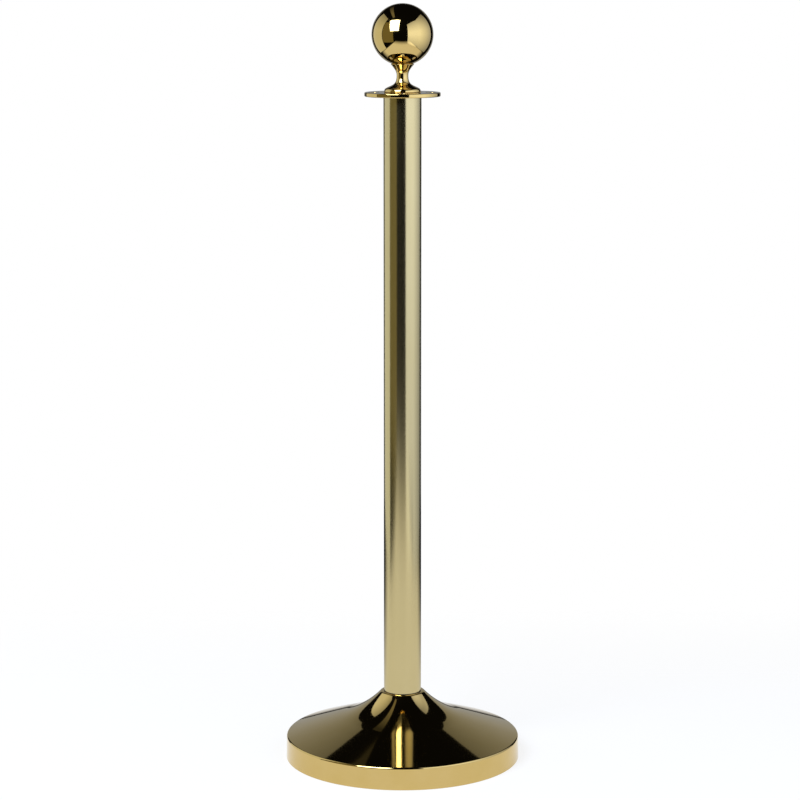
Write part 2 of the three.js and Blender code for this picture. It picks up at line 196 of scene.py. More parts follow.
def sweep(start, pull, push, end, steps=32):
    """Points on a cubic curve."""
    points = []
    for i in range(steps + 1):
        t = i / steps
        share = ((1 - t) ** 3, 3 * t * (1 - t) ** 2, 3 * t * t * (1 - t), t**3)
        corners = (start, pull, push, end)
        points.append(tuple(sum(s * c[k] for s, c in zip(share, corners)) for k in (0, 1)))
    return points


def eased(corners, radius, steps=4):
    """A closed outline of straight sides whose corners are rounded to a radius."""
    points = []
    for i, corner in enumerate(corners):
        here = Vector(corner)
        before = Vector(corners[i - 1]) - here
        after = Vector(corners[(i + 1) % len(corners)]) - here
        reach = min(radius, before.length * 0.45, after.length * 0.45)
        start = here + before.normalized() * reach
        end = here + after.normalized() * reach
        points += [
            tuple(start.lerp(here, i / steps).lerp(here.lerp(end, i / steps), i / steps))
            for i in range(steps + 1)
        ]
    return points


def ring_outline(inner, outer, bottom, top, edge=0.15):
    """A plain ring's outline with eased edges."""
    corners = [(inner, bottom), (outer, bottom), (outer, top), (inner, top)]
    return eased(corners, edge)


# ---------- Meshes ----------


def object_from(bm, name):
    bmesh.ops.remove_doubles(bm, verts=bm.verts, dist=ON_AXIS)
    bmesh.ops.recalc_face_normals(bm, faces=bm.faces)
    mesh = bpy.data.meshes.new(name)
    bm.to_mesh(mesh)
    bm.free()
    piece = bpy.data.objects.new(name, mesh)
    bpy.context.scene.collection.objects.link(piece)
    return piece


def turned(name, outline, turn=TURN_FINE, slit=0.0):
    """A solid of revolution. An outline off the axis closes on itself into a ring.
    slit is the angle left open, whose two ends are closed."""
    bm = bmesh.new()
    open_ring = slit > 0
    steps = turn + 1 if open_ring else turn
    span = 2 * math.pi - slit
    columns = []
    for i in range(steps):
        angle = slit / 2 + span * i / turn
        side = Vector((math.cos(angle), math.sin(angle)))
        columns.append([bm.verts.new((r * side.x * MM, r * side.y * MM, z * MM)) for r, z in outline])
    closed = outline[0][0] > ON_AXIS or outline[-1][0] > ON_AXIS
    rows = len(outline) if closed else len(outline) - 1
    for i in range(turn):
        left, right = columns[i], columns[(i + 1) % steps]
        for j in range(rows):
            k = (j + 1) % len(outline)
            bm.faces.new((left[j], right[j], right[k], left[k]))
    if open_ring:
        bm.faces.new(columns[0])
        bm.faces.new(columns[-1])
    bmesh.ops.remove_doubles(bm, verts=bm.verts, dist=ON_AXIS)
    bmesh.ops.dissolve_degenerate(bm, edges=bm.edges, dist=ON_AXIS)
    return object_from(bm, name)


def threaded_rod(name, radius, pitch, bottom, top, thread_bottom, turn=36, samples=8):
    """A rod along Z with a real helical thread from thread_bottom up, and a pointed end."""
    depth = THREAD_DEPTH_SHARE * pitch
    point = ROD_POINT
    count = round((top - thread_bottom) / pitch * samples)
    levels = [bottom, bottom + point] if thread_bottom > bottom + point else [bottom]
    levels += [thread_bottom + (top - thread_bottom) * i / count for i in range(count + 1)]
    bm = bmesh.new()
    rings = []
    for z in levels:
        verts = []
        limit = radius - max(0, point - (top - z), point - (z - bottom))
        for i in range(turn):
            phase = ((z - thread_bottom) / pitch - i / turn) % 1
            groove = max(0.0, 1 - abs(phase - 0.5) / THREAD_FLANK_SHARE)
            cut_in = depth * groove if z > thread_bottom else 0
            angle = 2 * math.pi * i / turn
            r = min(limit, radius - cut_in)
            verts.append(bm.verts.new((r * math.cos(angle) * MM, r * math.sin(angle) * MM, z * MM)))
        rings.append(verts)
    for low, high in zip(rings, rings[1:]):
        for i in range(turn):
            j = (i + 1) % turn
            bm.faces.new((low[i], low[j], high[j], high[i]))
    bm.faces.new(rings[0])
    bm.faces.new(rings[-1])
    return object_from(bm, name)


def combine(piece, others, operation):
    """Cuts the others out of a piece, joins them to it, or keeps what they share."""
    for other in others:
        modifier = piece.modifiers.new(operation.lower(), "BOOLEAN")
        modifier.operation = operation
        modifier.solver = "EXACT"
        modifier.object = other
    evaluated = piece.evaluated_get(bpy.context.evaluated_depsgraph_get())
    mesh = bpy.data.meshes.new_from_object(evaluated)
    piece.modifiers.clear()
    piece.data = mesh
    for other in others:
        bpy.data.objects.remove(other)
    return piece


def cut(piece, *tools):
    return combine(piece, tools, "DIFFERENCE")


# ---------- Base ----------


def cover_section():
    """Arc centres of the cover's section, and the slope of its straight cone."""
    shoulder = (TUBE_R + CROWN_LEDGE, CAD["base_cover"].top - SHOULDER_R)
    reach = SHOULDER_R + FLARE_R
    flare = (
        shoulder[0] + reach * math.sin(NECK_SLOPE),
        shoulder[1] + reach * math.cos(NECK_SLOPE),
    )
    corner = (CAD["base_cover"].radius - RIM_LEAN - RIM_CORNER_R, RIM_HEIGHT - RIM_CORNER_R)
    across = flare[0] - corner[0]
    up = flare[1] - corner[1]
    lean = math.asin((FLARE_R + RIM_CORNER_R) / math.hypot(across, up))
    return shoulder, flare, corner, math.pi - lean - math.atan2(up, across)


SHOULDER, FLARE, CORNER, CONE_SLOPE = cover_section()
COVER_FLARE_STEPS = 48


def cover_outline(depth):
    """The cover's section at a depth below its outer surface, from the crown to the rim."""
    shoulder = arc(SHOULDER, SHOULDER_R - depth, QUARTER, QUARTER - NECK_SLOPE, 16)
    flare_start = -QUARTER - NECK_SLOPE
    flare_end = -QUARTER - CONE_SLOPE
    flare = arc(FLARE, FLARE_R + depth, flare_start, flare_end, COVER_FLARE_STEPS)
    corner = arc(CORNER, RIM_CORNER_R - depth, QUARTER - CONE_SLOPE, 0, 12)
    cone = line(flare[-1], corner[0], 24)
    foot = (CAD["base_cover"].radius - depth, CAD["base_cover"].bottom)
    rim = line(corner[-1], foot, 12)
    return shoulder + flare[1:] + cone[1:] + corner[1:] + rim[1:]


def pin_hole(bottom, top):
    tool = turned("pin_hole", ring_outline(0, PIN_R + RUN_GAP, bottom, top, 0), TURN_SMALL // 2)
    low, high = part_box("turn_stop_pin")
    tool.data.transform(Matrix.Translation(((low.x + high.x) / 2, 0, 0)))
    return tool


def base_cover():
    top = CAD["base_cover"].top
    outside = cover_outline(0)
    crown_out = line((outside[0][0], top), (BOLT_HOLE_R, top), 6)
    crown_in = line((BOLT_HOLE_R, top - COVER_WALL), (outside[0][0], top - COVER_WALL), 6)
    outline = outside[::-1] + crown_out[1:] + crown_in + cover_outline(COVER_WALL)[1:]
    return cut(turned("cover_shell", outline), pin_hole(top - CUTTER_REACH, top + CUTTER_REACH))


def weight_top(radius):
    """Height of the casting's conical upper face."""
    weight = CAD["base_weight"]
    share = (weight.radius - radius) / (weight.radius - TUBE_R + BOSS_INSET - BOSS_FILLET_R)
    return WEIGHT_EDGE_HEIGHT + WEIGHT_RISE * share


def base_weight():
    weight = CAD["base_weight"]
    boss = TUBE_R - BOSS_INSET
    fillet = (boss + BOSS_FILLET_R, weight_top(boss + BOSS_FILLET_R) + BOSS_FILLET_R)
    recess = CAD["recess_cap"].radius + CAP_PRESS_ROOM
    edge_r = WEIGHT_EDGE_R
    land = weight.radius - WEIGHT_EDGE_LAND
    cone = line((land, weight_top(land)), (fillet[0], fillet[1] - BOSS_FILLET_R), 16)
    outline = [
        (recess, weight.bottom),
        (weight.radius - edge_r, weight.bottom),
        (weight.radius, weight.bottom + edge_r),
        *arc((weight.radius - edge_r, WEIGHT_EDGE_HEIGHT - edge_r), edge_r, 0, QUARTER, 6),
        *cone,
        *arc(fillet, BOSS_FILLET_R, -QUARTER, -math.pi, 16)[1:],
        *arc((boss - edge_r, weight.top - edge_r), edge_r, 0, QUARTER, 6),
        (BOLT_HOLE_R, weight.top),
        (BOLT_HOLE_R, RECESS_ROOF),
        (recess - RECESS_CHAMFER, RECESS_ROOF),
        (recess, RECESS_ROOF - RECESS_CHAMFER),
    ]
    depth = CAD["turn_stop_pin"].bottom - RUN_GAP
    return cut(turned("weight_casting", outline), pin_hole(depth, weight.top + CUTTER_REACH))


def cover_damper():
    low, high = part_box("cover_damper")
    outer = high.x / MM
    inner = FLARE[0] - FLARE_R * math.sin(CONE_SLOPE) + DAMPER_INSET
    corner_r = RIM_CORNER_R - COVER_WALL

    def cone_height(radius):
        start = CORNER[0] + corner_r * math.sin(CONE_SLOPE)
        rise = CORNER[1] + corner_r * math.cos(CONE_SLOPE)
        return rise + (start - radius) * math.tan(CONE_SLOPE)

    corners = [
        (inner, weight_top(inner) + RUN_GAP),
        (outer, weight_top(outer) + RUN_GAP),
        (outer, cone_height(outer) - RUN_GAP),
        (inner, cone_height(inner) - RUN_GAP),
    ]
    return turned("foam_ring", eased(corners, DAMPER_EDGE_R))


def floor_ring():
    """Moulded rubber: its sole has grip grooves, and its lip has a small bead."""
    ring = CAD["floor_ring"]
    wall_r = ring.radius - RING_WALL
    sole = CAD["base_weight"].radius - RING_SOLE_REACH
    tread = [(sole, 0)]
    for i in range(RING_GROOVES):
        middle = sole + (ring.radius - sole) * (i + 1) / (RING_GROOVES + 1)
        tread += [
            (middle - RING_GROOVE_FOOT, 0),
            (middle - RING_GROOVE_TOP, RING_GROOVE_DEPTH),
            (middle + RING_GROOVE_TOP, RING_GROOVE_DEPTH),
            (middle + RING_GROOVE_FOOT, 0),
        ]
    shoulder = arc((ring.radius - RING_EDGE_R, RING_EDGE_R), RING_EDGE_R, -QUARTER, 0, 6)
    bead_r = RING_WALL / 2
    lip = arc(((ring.radius + wall_r) / 2, ring.top - bead_r), bead_r, 0, math.pi, 10)
    heel = [
        (wall_r, RING_SOLE),
        (sole + RING_CHAMFER, RING_SOLE),
        (sole, RING_SOLE - RING_CHAMFER),
    ]
    return turned("rubber_ring", tread + shoulder + lip + heel)


def recess_cap():
    """Moulded cap: a dished face with a raised rim, and a short skirt."""
    cap = CAD["recess_cap"]
    dish = cap.bottom + CAP_DISH
    rim_r = cap.radius - 4.5
    inside_r = cap.radius - CAP_WALL
    roof = cap.bottom + CAP_WALL
    outline = [
        (0, dish),
        *line((2, dish), (rim_r - 1.5, dish), 4),
        *arc((rim_r, dish), CAP_DISH, math.pi, QUARTER * 3, 3),
        (rim_r + CAP_DISH, cap.bottom),
        *arc((cap.radius - CAP_EDGE_R, cap.bottom + CAP_EDGE_R), CAP_EDGE_R, -QUARTER, 0, 5),
        (cap.radius, cap.top - CAP_LEAD),
        (cap.radius - CAP_LEAD, cap.top),
        (inside_r, cap.top),
        (inside_r, roof + CAP_DISH),
        (inside_r - CAP_DISH, roof),
        (0, roof),
    ]
    return turned("pocket_cap", outline, TURN_SMALL)


# ---------- Bolt joint ----------


def flat_washer():
    washer = CAD["flat_washer"]
    outline = ring_outline(BOLT_HOLE_R, washer.radius, washer.bottom, washer.top, 0.3)
    return turned("washer_flat", outline, TURN_SMALL)


def spring_washer():
    washer = CAD["spring_washer"]
    outline = ring_outline(BOLT_HOLE_R, washer.radius, washer.bottom, washer.top, 0.25)
    slit = SPRING_WASHER_SLIT / washer.radius
    return turned("washer_spring", outline, TURN_SMALL, slit)


def base_bolt():
    bolt = CAD["base_bolt"]
    head_top = bolt.bottom + BOLT_HEAD_HEIGHT
    corner_r = bolt.radius
    hexagon = turned("bolt", ring_outline(0, corner_r, bolt.bottom, head_top, 0), 6)
    crown_r = corner_r * math.cos(math.pi / 6) - 0.4
    around_r = corner_r + 0.6
    outline = [
        (0, bolt.bottom),
        (crown_r, bolt.bottom),
        (around_r, bolt.bottom + BOLT_CROWN_DROP),
        (around_r, head_top + 1),
        (0, head_top + 1),
    ]
    combine(hexagon, [turned("bolt_crown", outline, TURN_SMALL)], "INTERSECT")
    thread_bottom = bolt.top - BOLT_THREAD
    shank = threaded_rod("bolt_shank", BOLT_R, BOLT_PITCH, head_top - 3, bolt.top, thread_bottom)
    return combine(hexagon, [shank], "UNION")


def turn_stop_pin():
    pin = CAD["turn_stop_pin"]
    corners = [(0, pin.bottom), (PIN_R, pin.bottom), (PIN_R, pin.top), (0, pin.top)]
    side = eased(corners, PIN_EDGE_R)[5:-5]
    piece = turned("pin", [(0, pin.bottom), *side, (0, pin.top)], TURN_SMALL // 2)
    low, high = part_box("turn_stop_pin")
    piece.data.transform(Matrix.Translation(((low.x + high.x) / 2, 0, 0)))
    return piece


def tube_gasket():
    gasket = CAD["tube_gasket"]
    outline = ring_outline(BOLT_HOLE_R, gasket.radius, gasket.bottom, gasket.top, 0.12)
    return cut(turned("gasket", outline), pin_hole(gasket.bottom - CUTTER_REACH, gasket.top + CUTTER_REACH))


# ---------- Tube ----------


def post_tube():
    tube = CAD["post_tube"]
    bore = tube.radius - TUBE_WALL
    edge = TUBE_EDGE
    outside = line((tube.radius, tube.bottom + edge), (tube.radius, tube.top - edge), 40)
    inside = line((bore, tube.top - edge), (bore, tube.bottom + edge), 8)
    foot = [(bore + edge, tube.bottom), (tube.radius - edge, tube.bottom)]
    head = [(tube.radius - edge, tube.top), (bore + edge, tube.top)]
    return turned("tube", foot + outside + head + inside)


def plug_outline(radius, bore, bottom, top):
    middle = (bottom + top) / 2
    half = PLUG_GROOVE_WIDTH / 2
    bend_r = radius - PLUG_GROOVE_DEPTH + PLUG_GROOVE_R
    low_bend = (bend_r, middle - half + PLUG_GROOVE_DEPTH)
    high_bend = (bend_r, middle + half - PLUG_GROOVE_DEPTH)
    slant = math.pi * 0.75
    return [
        (bore + PLUG_BORE_CHAMFER, bottom),
        (radius - PLUG_CHAMFER, bottom),
        (radius, bottom + PLUG_CHAMFER),
        (radius, middle - half),
        *arc(low_bend, PLUG_GROOVE_R, -slant, -math.pi, 3),
        *arc(high_bend, PLUG_GROOVE_R, math.pi, slant, 3),
        (radius, middle + half),
        (radius, top - PLUG_CHAMFER),
        (radius - PLUG_CHAMFER, top),
    ]


def plug_bore(radius, bottom, top):
    """The bore's side of a plug's outline, from the top down."""
    return [
        (radius + PLUG_BORE_CHAMFER, top),
        (radius, top - PLUG_BORE_CHAMFER),
        (radius, bottom + PLUG_BORE_CHAMFER),
    ]


def bottom_plug():
    plug = CAD["bottom_plug"]
    outline = plug_outline(plug.radius, BOLT_HOLE_R, plug.bottom, plug.top)
    outline += plug_bore(BOLT_HOLE_R, plug.bottom, plug.top)
    depth = CAD["turn_stop_pin"].top + RUN_GAP
    return cut(turned("plug_low", outline), pin_hole(plug.bottom - CUTTER_REACH, depth))


def top_plug():
    plug = CAD["top_plug"]
    shoulder = plug.top - SPIGOT_HEIGHT
    outline = plug_outline(plug.radius, STUD_HOLE_R, plug.bottom, shoulder)
    outline += [
        (SPIGOT_R, shoulder),
        (SPIGOT_R, plug.top - SPIGOT_CHAMFER),
        (SPIGOT_R - SPIGOT_CHAMFER, plug.top),
    ]
    outline += plug_bore(STUD_HOLE_R, plug.bottom, plug.top)
    return turned("plug_top", outline)


# ---------- Rope plate and washers ----------


def plate_washer():
    washer = CAD["plate_washer"]
    bore = SPIGOT_R + RUN_GAP
    outline = ring_outline(bore, washer.radius, washer.bottom, washer.top)
    return turned("washer_plate", outline)


def neck_washer():
    washer = CAD["neck_washer"]
    outline = ring_outline(STUD_HOLE_R, washer.radius, washer.bottom, washer.top)
    return turned("washer_neck", outline)


def hole_tool(radius, bottom, top, edge):
    """A cutter for a hole whose edges come out rounded."""
    mouth = radius + edge
    collar = mouth + 1
    profile = [(0, bottom - 1), (collar, bottom - 1), (collar, bottom)]
    profile += arc((mouth, bottom + edge), edge, -QUARTER, -math.pi, 8)
    profile += arc((mouth, top - edge), edge, math.pi, QUARTER, 8)
    profile += [(collar, top), (collar, top + 1), (0, top + 1)]
    return turned("rope_hole", profile, TURN_SMALL)


def rope_plate():
    plate = CAD["rope_plate"]
    edge = PLATE_EDGE_R
    notch = PLATE_NOTCH
    flat_r = plate.radius - edge - 0.5
    recess = FOOT_R + FOOT_ROOM
    roof = plate.top - PLATE_RECESS_DEPTH
    ceiling = plate.bottom + PLATE_RECESS_DEPTH
    bore = SPIGOT_R + RUN_GAP
    outline = [
        (TUBE_R + notch, plate.bottom),
        *line((TUBE_R + 1, plate.bottom), (flat_r, plate.bottom), 12),
        *arc((plate.radius - edge, plate.bottom + edge), edge, -QUARTER, 0, 10),
        *arc((plate.radius - edge, plate.top - edge), edge, 0, QUARTER, 10),
        *line((flat_r, plate.top), (recess + 1, plate.top), 12),
        (recess + notch, plate.top),
        (recess, plate.top - notch),
        *line((recess, roof), (bore + SPIGOT_CHAMFER, roof), 6),
        (bore, roof - SPIGOT_CHAMFER),
        (bore, ceiling),
        *line((bore + 1, ceiling), (TUBE_R, ceiling), 6),
        (TUBE_R, plate.bottom + notch),
    ]
    circle = (plate.radius + recess) / 2
    tools = []
    for i in range(ROPE_HOLES):
        tool = hole_tool(ROPE_HOLE_R, plate.bottom, plate.top, ROPE_HOLE_EDGE_R)
        turn = Matrix.Rotation(2 * math.pi * i / ROPE_HOLES, 4, "Z")
        tool.data.transform(turn @ Matrix.Translation((circle * MM, 0, 0)))
        tools.append(tool)
    return cut(turned("plate_disc", outline), *tools)


# ---------- Finial ----------


def finial_neck():
    """A turned spool: bead foot, narrow waist, and a cup hollowed to seat the ball."""
    bead_centre = (FOOT_R - FOOT_BEAD_R, FOOT_BEAD_HEIGHT)
    bead_start = -math.asin(FOOT_BEAD_HEIGHT / FOOT_BEAD_R)
    bead = arc(bead_centre, FOOT_BEAD_R, bead_start, BEAD_END, 20)
    leave = bead[-1]
    pull = (leave[0] - SWEEP_REACH * math.sin(BEAD_END), leave[1] + SWEEP_REACH * math.cos(BEAD_END))
    waist = (WAIST_R, WAIST_HEIGHT)
    lower = sweep(leave, pull, (WAIST_R, WAIST_HEIGHT - WAIST_BELOW), waist, 40)
    cup_bottom = NECK_HEIGHT - CUP_LIP
    push = (WAIST_R + CUP_SPREAD * (CUP_R - WAIST_R), cup_bottom - CUP_CLIMB)
    upper = sweep(waist, (WAIST_R, WAIST_HEIGHT + WAIST_ABOVE), push, (CUP_R, cup_bottom), 40)
    seat_r = BALL_R + RUN_GAP
    lip = CUP_R - CUP_LIP
    rise = BALL_CENTRE - NECK_BOTTOM
    radii = [lip + (STUD_HOLE_R - lip) * i / 16 for i in range(17)]
    seat = [(r, rise - math.sqrt(seat_r**2 - r**2)) for r in radii]
    edge = arc((CUP_R - CUP_EDGE_R, cup_bottom + CUP_EDGE_RISE), CUP_EDGE_R, 0, QUARTER, 5)
    outline = [(STUD_HOLE_R, 0), *bead, *lower[1:], *upper[1:], *edge, *seat]
    return turned("neck", [(r, z + NECK_BOTTOM) for r, z in outline])


def finial_ball():
    """A hollow spun ball, open where the bush sits in its underside."""
    centre = (0, BALL_CENTRE)
    inner = BALL_R - BALL_WALL
    start = -math.acos(BALL_HOLE_R / BALL_R)
    below = arc(centre, BALL_R, start, 0, 64)
    above = arc(centre, BALL_R, 0, QUARTER, 64)
    inside = arc(centre, inner, QUARTER, -math.acos(BALL_HOLE_R / inner), 64)
    poles = [(0, above[-1][1]), (0, inside[0][1])]
    return turned("ball", below + above[1:-1] + poles + inside[1:])


def ball_bush():
    bush = CAD["ball_bush"]
    body_r = BALL_HOLE_R - RUN_GAP
    inner = BALL_R - BALL_WALL
    flange = BALL_CENTRE - math.sqrt(inner**2 - bush.radius**2) + BUSH_SEAT
    corners = [
        (STUD_HOLE_R, bush.bottom),
        (body_r, bush.bottom),
        (body_r, flange),
        (bush.radius, flange),
        (bush.radius, flange + BUSH_FLANGE_T),
        (body_r, flange + BUSH_FLANGE_T),
        (body_r, bush.top),
        (STUD_HOLE_R, bush.top),
    ]
    return turned("bush", eased(corners, BUSH_EDGE_R, 3), TURN_SMALL)


def finial_stud():
    stud = CAD["finial_stud"]
    return threaded_rod("stud", STUD_R, STUD_PITCH, stud.bottom, stud.top, stud.bottom)


# ---------- Materials ----------


def node(tree, kind, **settings):
    made = tree.nodes.new(kind)
    for key, value in settings.items():
        setattr(made, key, value)
    return made


def plain_material(name, colour, roughness, metallic=0.0):
    material = bpy.data.materials.new(name)
    material.use_nodes = True
    tree = material.node_tree
    shader = tree.nodes["Principled BSDF"]
    shader.inputs["Base Color"].default_value = (*colour, 1)
    shader.inputs["Roughness"].default_value = roughness
    shader.inputs["Metallic"].default_value = metallic
    return material, tree, shader


def place_on(tree, stretch=(1, 1, 1)):
    """The piece's own coordinates in metres, stretched."""
    coordinates = node(tree, "ShaderNodeTexCoord")
    mapping = node(tree, "ShaderNodeMapping")
    mapping.inputs["Scale"].default_value = stretch
    tree.links.new(coordinates.outputs["Object"], mapping.inputs["Vector"])
    return mapping.outputs["Vector"]


def turning(tree, across, along, around):
    """Coordinates of a turned piece, so that a pattern can run round it: distance from the
    axis, height, and a slow change along each turn."""
    coordinates = node(tree, "ShaderNodeTexCoord")
    parts = node(tree, "ShaderNodeSeparateXYZ")
    flat = node(tree, "ShaderNodeCombineXYZ")
    length = node(tree, "ShaderNodeVectorMath", operation="LENGTH")
    joined = node(tree, "ShaderNodeCombineXYZ")
    angle = node(tree, "ShaderNodeMath", operation="ARCTAN2")
    scaled = node(tree, "ShaderNodeMapping")
    scaled.inputs["Scale"].default_value = (across, along, around)
    link = tree.links.new
    link(coordinates.outputs["Object"], parts.inputs[0])
    link(parts.outputs["X"], flat.inputs["X"])
    link(parts.outputs["Y"], flat.inputs["Y"])
    link(flat.outputs[0], length.inputs[0])
    link(parts.outputs["Y"], angle.inputs[0])
    link(parts.outputs["X"], angle.inputs[1])
    link(length.outputs["Value"], joined.inputs["X"])
    link(parts.outputs["Z"], joined.inputs["Y"])
    link(angle.outputs[0], joined.inputs["Z"])
    link(joined.outputs[0], scaled.inputs["Vector"])
    return scaled.outputs["Vector"]


def noise(tree, vector, scale, detail):
    made = node(tree, "ShaderNodeTexNoise")
    made.inputs["Scale"].default_value = scale
    made.inputs["Detail"].default_value = detail
    tree.links.new(vector, made.inputs["Vector"])
    return made.outputs["Fac"]


def spread(tree, value, low, high, start_at=0.3, end_at=0.7):
    """value from start_at to end_at becomes low to high."""
    made = node(tree, "ShaderNodeMapRange")
    for socket, number in (
        ("From Min", start_at),
        ("From Max", end_at),
        ("To Min", low),
        ("To Max", high),
    ):
        made.inputs[socket].default_value = number
    tree.links.new(value, made.inputs["Value"])
    return made.outputs["Result"]


# The Mix node has a set of sockets for each kind of value, under the same names. These are
# the places of its share and of its colour sockets.
MIX_SHARE = 0
MIX_FIRST = 6
MIX_SECOND = 7
MIX_RESULT = 2


def blend_colour(tree, share, first, second):
    made = node(tree, "ShaderNodeMix", data_type="RGBA")
    made.inputs[MIX_FIRST].default_value = (*first, 1)
    made.inputs[MIX_SECOND].default_value = (*second, 1)
    tree.links.new(share, made.inputs[MIX_SHARE])
    return made.outputs[MIX_RESULT]


def relief(tree, shader, height, depth):
    """Adds a bump of a real depth in metres, under any bump that the shader has already."""
    made = node(tree, "ShaderNodeBump")
    made.inputs["Strength"].default_value = 1.0
    made.inputs["Distance"].default_value = depth
    tree.links.new(height, made.inputs["Height"])
    normal = shader.inputs["Normal"]
    if normal.is_linked:
        tree.links.new(normal.links[0].from_socket, made.inputs["Normal"])
    tree.links.new(made.outputs["Normal"], normal)


def polished_brass():
    material, tree, shader = plain_material("polished_brass", (0.6, 0.435, 0.16), 0.05, 1.0)
    link = tree.links.new
    cloudy = noise(tree, place_on(tree), 35, 4)
    tint = blend_colour(tree, spread(tree, cloudy, 0, 1), (0.59, 0.425, 0.15), (0.61, 0.445, 0.17))
    link(tint, shader.inputs["Base Color"])
    lines = noise(tree, turning(tree, 2600, 2600, 2.5), 1, 2)
    link(spread(tree, lines, 0.035, 0.075), shader.inputs["Roughness"])
    relief(tree, shader, noise(tree, place_on(tree), 28, 2), 0.00003)
    return material


def satin_brass():
    material, tree, shader = plain_material("satin_brass", (0.55, 0.455, 0.23), 0.18, 1.0)
    link = tree.links.new
    brushed = noise(tree, turning(tree, 1, 5200, 5.0), 1, 3)
    cloudy = noise(tree, place_on(tree, (1, 1, 0.25)), 30, 3)
    tint = blend_colour(tree, spread(tree, cloudy, 0, 1), (0.54, 0.445, 0.22), (0.56, 0.465, 0.24))
    link(tint, shader.inputs["Base Color"])
    link(spread(tree, brushed, 0.15, 0.21), shader.inputs["Roughness"])
    relief(tree, shader, brushed, 0.0000015)
    return material


def raw_brass():
    material, tree, shader = plain_material("raw_brass", (0.6, 0.4, 0.14), 0.32, 1.0)
    grooves = noise(tree, turning(tree, 3500, 3500, 1.0), 1, 2)
    tree.links.new(spread(tree, grooves, 0.25, 0.42), shader.inputs["Roughness"])
    relief(tree, shader, grooves, 0.00002)
    return material


def zinc_steel():
    material, tree, shader = plain_material("zinc_steel", (0.58, 0.6, 0.62), 0.3, 1.0)
    link = tree.links.new
    blotches = noise(tree, place_on(tree), 400, 4)
    tint = blend_colour(tree, spread(tree, blotches, 0, 1), (0.5, 0.53, 0.57), (0.66, 0.66, 0.62))
    link(tint, shader.inputs["Base Color"])
    link(spread(tree, blotches, 0.22, 0.42), shader.inputs["Roughness"])
    relief(tree, shader, noise(tree, place_on(tree), 2500, 2), 0.00001)
    return material


def cast_iron():
    material, tree, shader = plain_material("cast_iron", (0.03, 0.03, 0.032), 0.6)
    link = tree.links.new
    sand = noise(tree, place_on(tree), 700, 6)
    patches = noise(tree, place_on(tree), 40, 4)
    tint = blend_colour(tree, spread(tree, patches, 0, 1), (0.02, 0.02, 0.022), (0.05, 0.048, 0.046))
    link(tint, shader.inputs["Base Color"])
    link(spread(tree, sand, 0.45, 0.8), shader.inputs["Roughness"])
    relief(tree, shader, sand, 0.0006)
    return material


def rubber():
    material, tree, shader = plain_material("rubber", (0.018, 0.018, 0.018), 0.7)
    link = tree.links.new
    grain = noise(tree, place_on(tree), 1800, 3)
    dust = noise(tree, place_on(tree), 60, 4)
    tint = blend_colour(tree, spread(tree, dust, 0, 1), (0.012, 0.012, 0.012), (0.03, 0.029, 0.028))
    link(tint, shader.inputs["Base Color"])
    link(spread(tree, grain, 0.6, 0.85), shader.inputs["Roughness"])
    relief(tree, shader, grain, 0.0001)
    return material


def foam():
    material, tree, shader = plain_material("foam", (0.1, 0.105, 0.11), 0.95)
    cells = node(tree, "ShaderNodeTexVoronoi")
    cells.inputs["Scale"].default_value = 900
    tree.links.new(place_on(tree), cells.inputs["Vector"])
    distance = cells.outputs["Distance"]
    share = spread(tree, distance, 0, 1, 0, 0.7)
    tint = blend_colour(tree, share, (0.05, 0.052, 0.055), (0.13, 0.135, 0.14))
    tree.links.new(tint, shader.inputs["Base Color"])
    relief(tree, shader, distance, 0.0004)
    return material


def nylon():
    material, tree, shader = plain_material("nylon", (0.76, 0.73, 0.64), 0.42)
    shader.inputs["Subsurface Weight"].default_value = 0.15
    shader.inputs["Subsurface Radius"].default_value = (0.002, 0.0017, 0.0012)
    grain = noise(tree, place_on(tree), 1500, 3)
    tree.links.new(spread(tree, grain, 0.36, 0.5), shader.inputs["Roughness"])
    relief(tree, shader, grain, 0.00003)
    return material


def black_plastic():
    material, tree, shader = plain_material("black_plastic", (0.02, 0.02, 0.022), 0.45)
    grain = noise(tree, place_on(tree), 3000, 2)
    tree.links.new(spread(tree, grain, 0.38, 0.55), shader.inputs["Roughness"])
    relief(tree, shader, grain, 0.00006)
    return material


MATERIALS = {
    make.__name__: make()
    for make in (
        polished_brass,
        satin_brass,
        raw_brass,
        zinc_steel,
        cast_iron,
        rubber,
        foam,
        nylon,
        black_plastic,
    )
}

# ---------- Pieces on their bodies ----------

SMOOTH_BELOW = math.radians(32)


def fit(piece, cad_node):
    """Gives a piece its finish and shading, and puts it in its CAD node's place."""
    piece.data.materials.clear()
    piece.data.materials.append(MATERIALS[SLOT[cad_node]])
    piece.data.shade_smooth()
    piece.data.set_sharp_from_angle(angle=SMOOTH_BELOW)
    weighted = piece.modifiers.new("weighted_normals", "WEIGHTED_NORMAL")
    weighted.keep_sharp = True
    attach(piece, BODY[cad_node])
    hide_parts(cad_node)


PIECES = (
    base_cover,
    base_weight,
    cover_damper,
    floor_ring,
    recess_cap,
    flat_washer,
    spring_washer,
    base_bolt,
    turn_stop_pin,
    tube_gasket,
    post_tube,
    bottom_plug,
    top_plug,
    plate_washer,
    rope_plate,
    neck_washer,
    finial_neck,
    finial_ball,
    ball_bush,
    finial_stud,
)

for make in PIECES:
    fit(make(), make.__name__)

# ---------- Studio ----------

FLOOR_REACH = 2.6
FLOOR_ALBEDO = 0.2
FLOOR_GLOW = 0.82
# Axis, where the floor starts to fade, where the fade ends, and the share that is left there.
FLOOR_FADES = (
    ("X", 1.05, 1.14, 0),
    ("X", -1.05, -1.14, 0),
    ("Y", -1.25, -2.3, 0),
    ("Y", 0.17, 0.8, 0),
)
AIR_GLOW = 0.004

